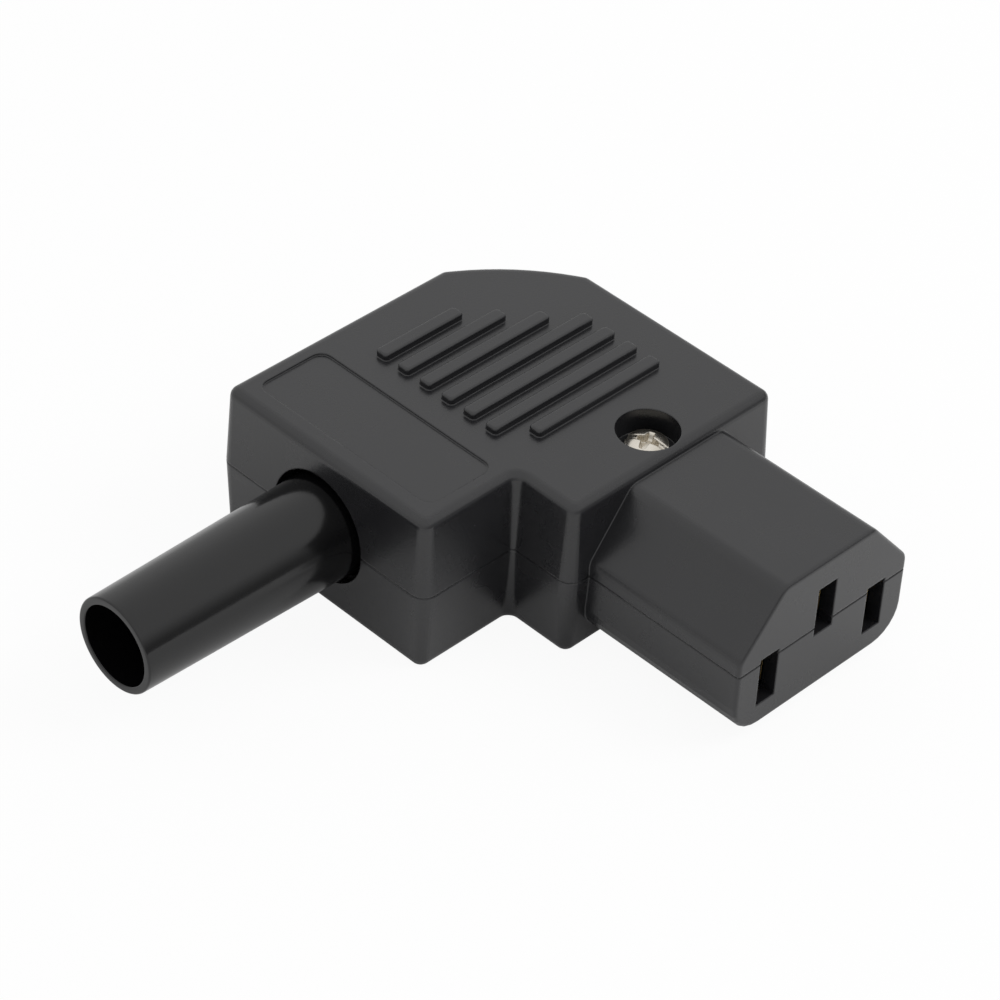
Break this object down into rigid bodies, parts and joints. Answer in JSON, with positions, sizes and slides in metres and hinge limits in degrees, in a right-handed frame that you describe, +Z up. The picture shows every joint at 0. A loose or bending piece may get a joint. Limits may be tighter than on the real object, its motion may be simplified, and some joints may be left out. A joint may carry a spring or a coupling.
{
  "type": "c13 power connector",
  "caption": "Right-angle rewirable C13 mains connector: two screwed shells with a chamfered three-slot socket nose, grip ridges and a side cable sleeve.",
  "frame": {"origin": "centre of the nose's engagement face, on the plane where the two shells part", "axes": "+X out of the socket nose, -Y along the cable sleeve, +Z up through the screw side"},
  "size_m": [0.052, 0.0611, 0.0178],
  "materials": {
    "shell_plastic": "fine matt grain",
    "sleeve_vinyl": "smooth and glossy",
    "plated_steel": "nickel plated",
    "spring_steel": "bright rolled",
    "contact_brass": "stamped and tumbled"
  },
  "bodies": {
    "root": {"upper_shell": "shell_plastic", "lower_shell": "shell_plastic", "cable_sleeve": "sleeve_vinyl", "housing_screw": "plated_steel", "housing_nut": "plated_steel", "contact_earth": "contact_brass", "contact_line": "contact_brass", "contact_neutral": "contact_brass", "contact_spring_earth": "spring_steel", "contact_spring_line": "spring_steel", "contact_spring_neutral": "spring_steel", "terminal_block_earth": "contact_brass", "terminal_block_line": "contact_brass", "terminal_block_neutral": "contact_brass", "terminal_screw_earth": "plated_steel", "terminal_screw_line": "plated_steel", "terminal_screw_neutral": "plated_steel", "cord_clamp_bar": "plated_steel", "cord_clamp_screw_front": "plated_steel", "cord_clamp_screw_rear": "plated_steel"}
  },
  "joints": []
}
